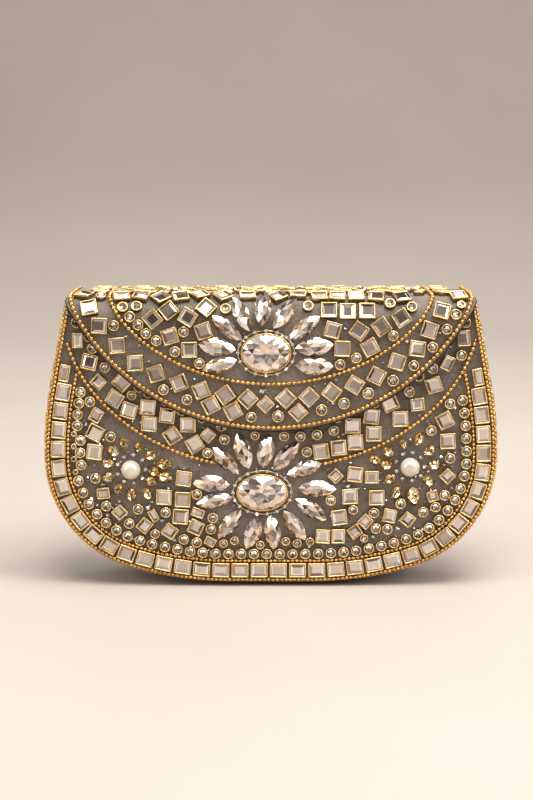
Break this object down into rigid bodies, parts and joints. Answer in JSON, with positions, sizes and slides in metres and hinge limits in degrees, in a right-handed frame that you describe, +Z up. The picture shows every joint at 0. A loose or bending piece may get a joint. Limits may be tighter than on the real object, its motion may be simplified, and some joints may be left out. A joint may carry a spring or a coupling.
{
  "type": "mosaic evening bag",
  "caption": "Hard-shell evening bag with a U-shaped body, a hinged flap with a magnetic snap, and a resin bed set with mirrors, crystals and bead chains.",
  "frame": {"origin": "on the table, under the middle of the whole bag's box", "axes": "+X to the right of a person facing the front, +Y to the back, +Z up"},
  "size_m": [0.2096, 0.0558, 0.137],
  "materials": {
    "mirror": "bevelled mirror with a faint warm tint",
    "setting_brass": "pale antique brass, satin",
    "chain_gold": "warm gold, polished beads",
    "clear_crystal": "clear cut crystal, foiled back",
    "champagne_crystal": "champagne cut crystal, foiled back",
    "oval_crystal": "pale champagne cut crystal, foiled back",
    "gold_crystal": "topaz gold cut crystal, foiled back",
    "pearl": "ivory pearl lustre",
    "resin": "gritty grey taupe, matt",
    "lining_cloth": "dark brown short pile",
    "flap_cloth": "black short pile",
    "sheet_brass": "rolled brass sheet",
    "hinge_steel": "brass plated, satin",
    "snap_plate": "brass plated, polished"
  },
  "bodies": {
    "body": {"back_border_mirrors": "mirror", "back_border_settings": "setting_brass", "back_chains": "chain_gold", "back_panel": "sheet_brass", "back_resin_bed": "resin", "back_round_cups": "setting_brass", "back_round_stones": "clear_crystal", "back_square_mirrors": "mirror", "back_square_settings": "setting_brass", "base_mirrors": "mirror", "base_settings": "setting_brass", "front_border_chains": "chain_gold", "front_border_mirrors": "mirror", "front_border_settings": "setting_brass", "front_flower_oval": "oval_crystal", "front_flower_petals": "champagne_crystal", "front_halo_stones": "clear_crystal", "front_panel": "sheet_brass", "front_resin_bed": "resin", "front_round_cups": "setting_brass", "front_round_stones": "clear_crystal", "front_square_mirrors": "mirror", "front_square_settings": "setting_brass", "front_swag_chains": "chain_gold", "gusset_band": "sheet_brass", "gusset_edge_chains": "chain_gold", "gusset_resin_bed": "resin", "gusset_round_cups": "setting_brass", "gusset_round_stones": "clear_crystal", "gusset_square_mirrors": "mirror", "gusset_square_settings": "setting_brass", "hinge_leaf_body": "hinge_steel", "hinge_pin": "hinge_steel", "hinge_rivets_body": "hinge_steel", "lining": "lining_cloth", "side_flower_pearls": "pearl", "side_flower_petals": "gold_crystal", "snap_socket": "snap_plate", "snap_socket_washer": "snap_plate"},
    "flap": {"flap_edge_chain": "chain_gold", "flap_flower_oval": "oval_crystal", "flap_flower_petals": "champagne_crystal", "flap_halo_stones": "clear_crystal", "flap_lining": "flap_cloth", "flap_resin_bed": "resin", "flap_round_cups": "setting_brass", "flap_round_stones": "clear_crystal", "flap_shell": "sheet_brass", "flap_square_mirrors": "mirror", "flap_square_settings": "setting_brass", "flap_swag_chain": "chain_gold", "hinge_leaf_flap": "hinge_steel", "hinge_rivets_flap": "hinge_steel", "snap_stud": "snap_plate", "snap_stud_washer": "snap_plate"}
  },
  "joints": [
    {"name": "flap_hinge", "type": "hinge", "parent": "body", "child": "flap", "pos_m": [0, 0.0245, 0.133], "axis": [-1, 0, 0], "range_deg": [0, 120]}
  ]
}
